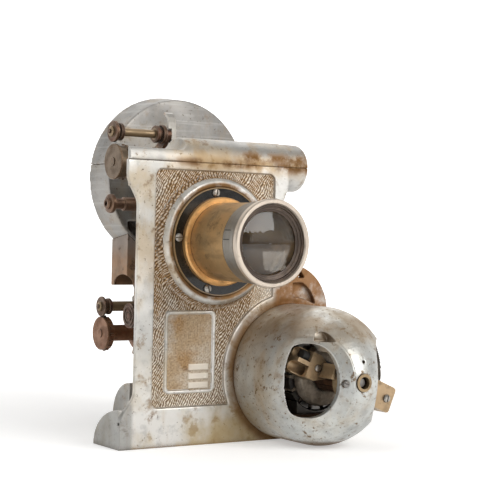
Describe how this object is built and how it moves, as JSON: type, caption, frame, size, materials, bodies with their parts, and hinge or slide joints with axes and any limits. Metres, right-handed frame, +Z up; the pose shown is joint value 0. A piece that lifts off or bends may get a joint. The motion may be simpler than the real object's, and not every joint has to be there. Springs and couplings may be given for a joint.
{
  "type": "movie projector",
  "caption": "Motor-driven film projector mechanism: cast front plate with lens and domed motor, film rollers and sprockets behind, round flywheel drum at the back.",
  "frame": {"origin": "on the floor under the middle of the front foot, straight below the lens axis", "axes": "+Z up; -Y forwards, the way the lens looks; +X towards the motor side; the lens axis is along Y"},
  "size_m": [0.1987, 0.2698, 0.2494],
  "materials": {
    "cast_alloy": "cast, matt, stained",
    "painted_black": "black enamel, satin",
    "bright_brass": "bright, lightly tarnished",
    "dull_brass": "lacquered, dull",
    "nickel": "nickel plate, worn",
    "bronze": "dark bronze with rust-brown patina",
    "rusty_brown": "brown, matt",
    "steel": "machined",
    "copper": "copper wire, varnished",
    "carbon": "carbon",
    "glass": "polished",
    "leather_belt": "round belt"
  },
  "bodies": {
    "frame": {"front_casting": "cast_alloy", "top_cover": "cast_alloy", "mechanism_wall": "cast_alloy", "rear_frame": "cast_alloy", "top_arm": "cast_alloy", "drum_lower_shell": "cast_alloy", "drum_upper_shell": "cast_alloy", "belt_guard": "rusty_brown", "case_screws": "steel", "lens_mount_ring": "painted_black", "ring_screws": "nickel", "focus_sleeve": "bright_brass", "motor_shell": "cast_alloy", "field_core": "steel", "field_coils": "copper", "nose_bush": "bronze", "aperture_plate": "steel", "film_chute": "rusty_brown", "fixed_studs": "steel", "drive_belt": "leather_belt"},
    "lens": {"lens_barrel": "dull_brass", "lens_collar": "nickel", "front_lens": "glass", "lens_retaining_ring": "bronze", "rear_lens": "glass"},
    "rotor": {"motor_shaft": "steel", "armature_core": "steel", "armature_windings": "copper", "commutator": "copper", "motor_pinion": "steel"},
    "brush_rocker": {"brush_yoke": "bright_brass", "brushes": "carbon", "yoke_screws": "nickel"},
    "main_drive": {"main_shaft": "steel", "main_gear": "dull_brass", "main_bevel_gear": "steel", "shutter_drive_gear": "steel", "belt_wheel": "steel"},
    "shutter": {"shutter_gear": "dull_brass", "shutter_blade": "painted_black"},
    "beater": {"beater_shaft": "steel", "beater_bevel_gear": "steel", "film_beater": "bronze"},
    "lower_feed": {"lower_shaft": "steel", "lower_gear": "dull_brass", "lower_sprocket": "bronze"},
    "double_idler_wheel": {"double_idler": "dull_brass"},
    "single_idler_wheel": {"single_idler": "steel"},
    "upper_feed": {"upper_shaft": "steel", "upper_sprocket": "bronze"},
    "flywheel_set": {"flywheel": "steel", "flywheel_shaft": "steel"},
    "upper_arm": {"upper_pad_arm": "bronze", "pad_lever": "nickel"},
    "upper_roller": {"upper_pad_roller": "bronze"},
    "lower_arm": {"lower_pad_arm": "bronze"},
    "lower_roller": {"lower_pad_roller": "bronze"},
    "guide": {"guide_roller": "bronze"},
    "gate": {"gate_door": "bronze", "gate_knob": "nickel"}
  },
  "joints": [
    {"name": "main_spin", "type": "hinge", "parent": "frame", "child": "main_drive", "pos_m": [0.0629, 0, 0.082], "axis": [0, 1, 0], "continuous": true},
    {"name": "motor_spin", "type": "hinge", "parent": "frame", "child": "rotor", "pos_m": [0.0629, 0, 0.0472], "axis": [0, 1, 0], "continuous": true},
    {"name": "shutter_spin", "type": "hinge", "parent": "frame", "child": "shutter", "pos_m": [0.0285, 0, 0.1188], "axis": [0, 1, 0], "continuous": true},
    {"name": "flywheel_spin", "type": "hinge", "parent": "frame", "child": "flywheel_set", "pos_m": [0.0629, 0, 0.184], "axis": [0, 1, 0], "continuous": true},
    {"name": "beater_spin", "type": "hinge", "parent": "frame", "child": "beater", "pos_m": [0, 0.06075, 0.082], "axis": [1, 0, 0], "continuous": true},
    {"name": "lower_sprocket_spin", "type": "hinge", "parent": "frame", "child": "lower_feed", "pos_m": [0, 0.103, 0.0665], "axis": [1, 0, 0], "continuous": true},
    {"name": "double_idler_spin", "type": "hinge", "parent": "frame", "child": "double_idler_wheel", "pos_m": [0, 0.0986, 0.12935], "axis": [1, 0, 0], "continuous": true},
    {"name": "single_idler_spin", "type": "hinge", "parent": "frame", "child": "single_idler_wheel", "pos_m": [0, 0.10562, 0.16057], "axis": [1, 0, 0], "continuous": true},
    {"name": "upper_sprocket_spin", "type": "hinge", "parent": "frame", "child": "upper_feed", "pos_m": [0, 0.089, 0.1925], "axis": [1, 0, 0], "continuous": true},
    {"name": "focus_slide", "type": "slide", "parent": "frame", "child": "lens", "axis": [0, 1, 0], "range_m": [-0.008, 0.008]},
    {"name": "brush_rock", "type": "hinge", "parent": "frame", "child": "brush_rocker", "pos_m": [0.0629, 0, 0.0472], "axis": [0, 1, 0], "range_deg": [-5, 5]},
    {"name": "upper_pad_swing", "type": "hinge", "parent": "frame", "child": "upper_arm", "pos_m": [0, 0.116, 0.189], "axis": [1, 0, 0], "range_deg": [-35, 0]},
    {"name": "upper_pad_roller_spin", "type": "hinge", "parent": "upper_arm", "child": "upper_roller", "pos_m": [0, 0.0905, 0.2145], "axis": [1, 0, 0], "continuous": true},
    {"name": "lower_pad_swing", "type": "hinge", "parent": "frame", "child": "lower_arm", "pos_m": [0, 0.119, 0.099], "axis": [1, 0, 0], "range_deg": [-30, 0]},
    {"name": "lower_pad_roller_spin", "type": "hinge", "parent": "lower_arm", "child": "lower_roller", "pos_m": [0, 0.102, 0.0863], "axis": [1, 0, 0], "continuous": true},
    {"name": "guide_roller_spin", "type": "hinge", "parent": "frame", "child": "guide", "pos_m": [0, 0.094, 0.162], "axis": [1, 0, 0], "continuous": true},
    {"name": "gate_door_swing", "type": "hinge", "parent": "frame", "child": "gate", "pos_m": [0.0223, 0.056, 0.13], "axis": [0, 0, 1], "range_deg": [-40, 0]}
  ],
  "couplings": [
    {"joint": "motor_spin", "follows": "main_spin", "ratio": -2.625},
    {"joint": "shutter_spin", "follows": "main_spin", "ratio": -2},
    {"joint": "flywheel_spin", "follows": "main_spin", "ratio": 0.5},
    {"joint": "beater_spin", "follows": "main_spin", "ratio": -1},
    {"joint": "lower_sprocket_spin", "follows": "main_spin", "ratio": 0.25},
    {"joint": "double_idler_spin", "follows": "main_spin", "ratio": -0.33333},
    {"joint": "single_idler_spin", "follows": "main_spin", "ratio": 0.2},
    {"joint": "upper_sprocket_spin", "follows": "main_spin", "ratio": -0.25}
  ]
}
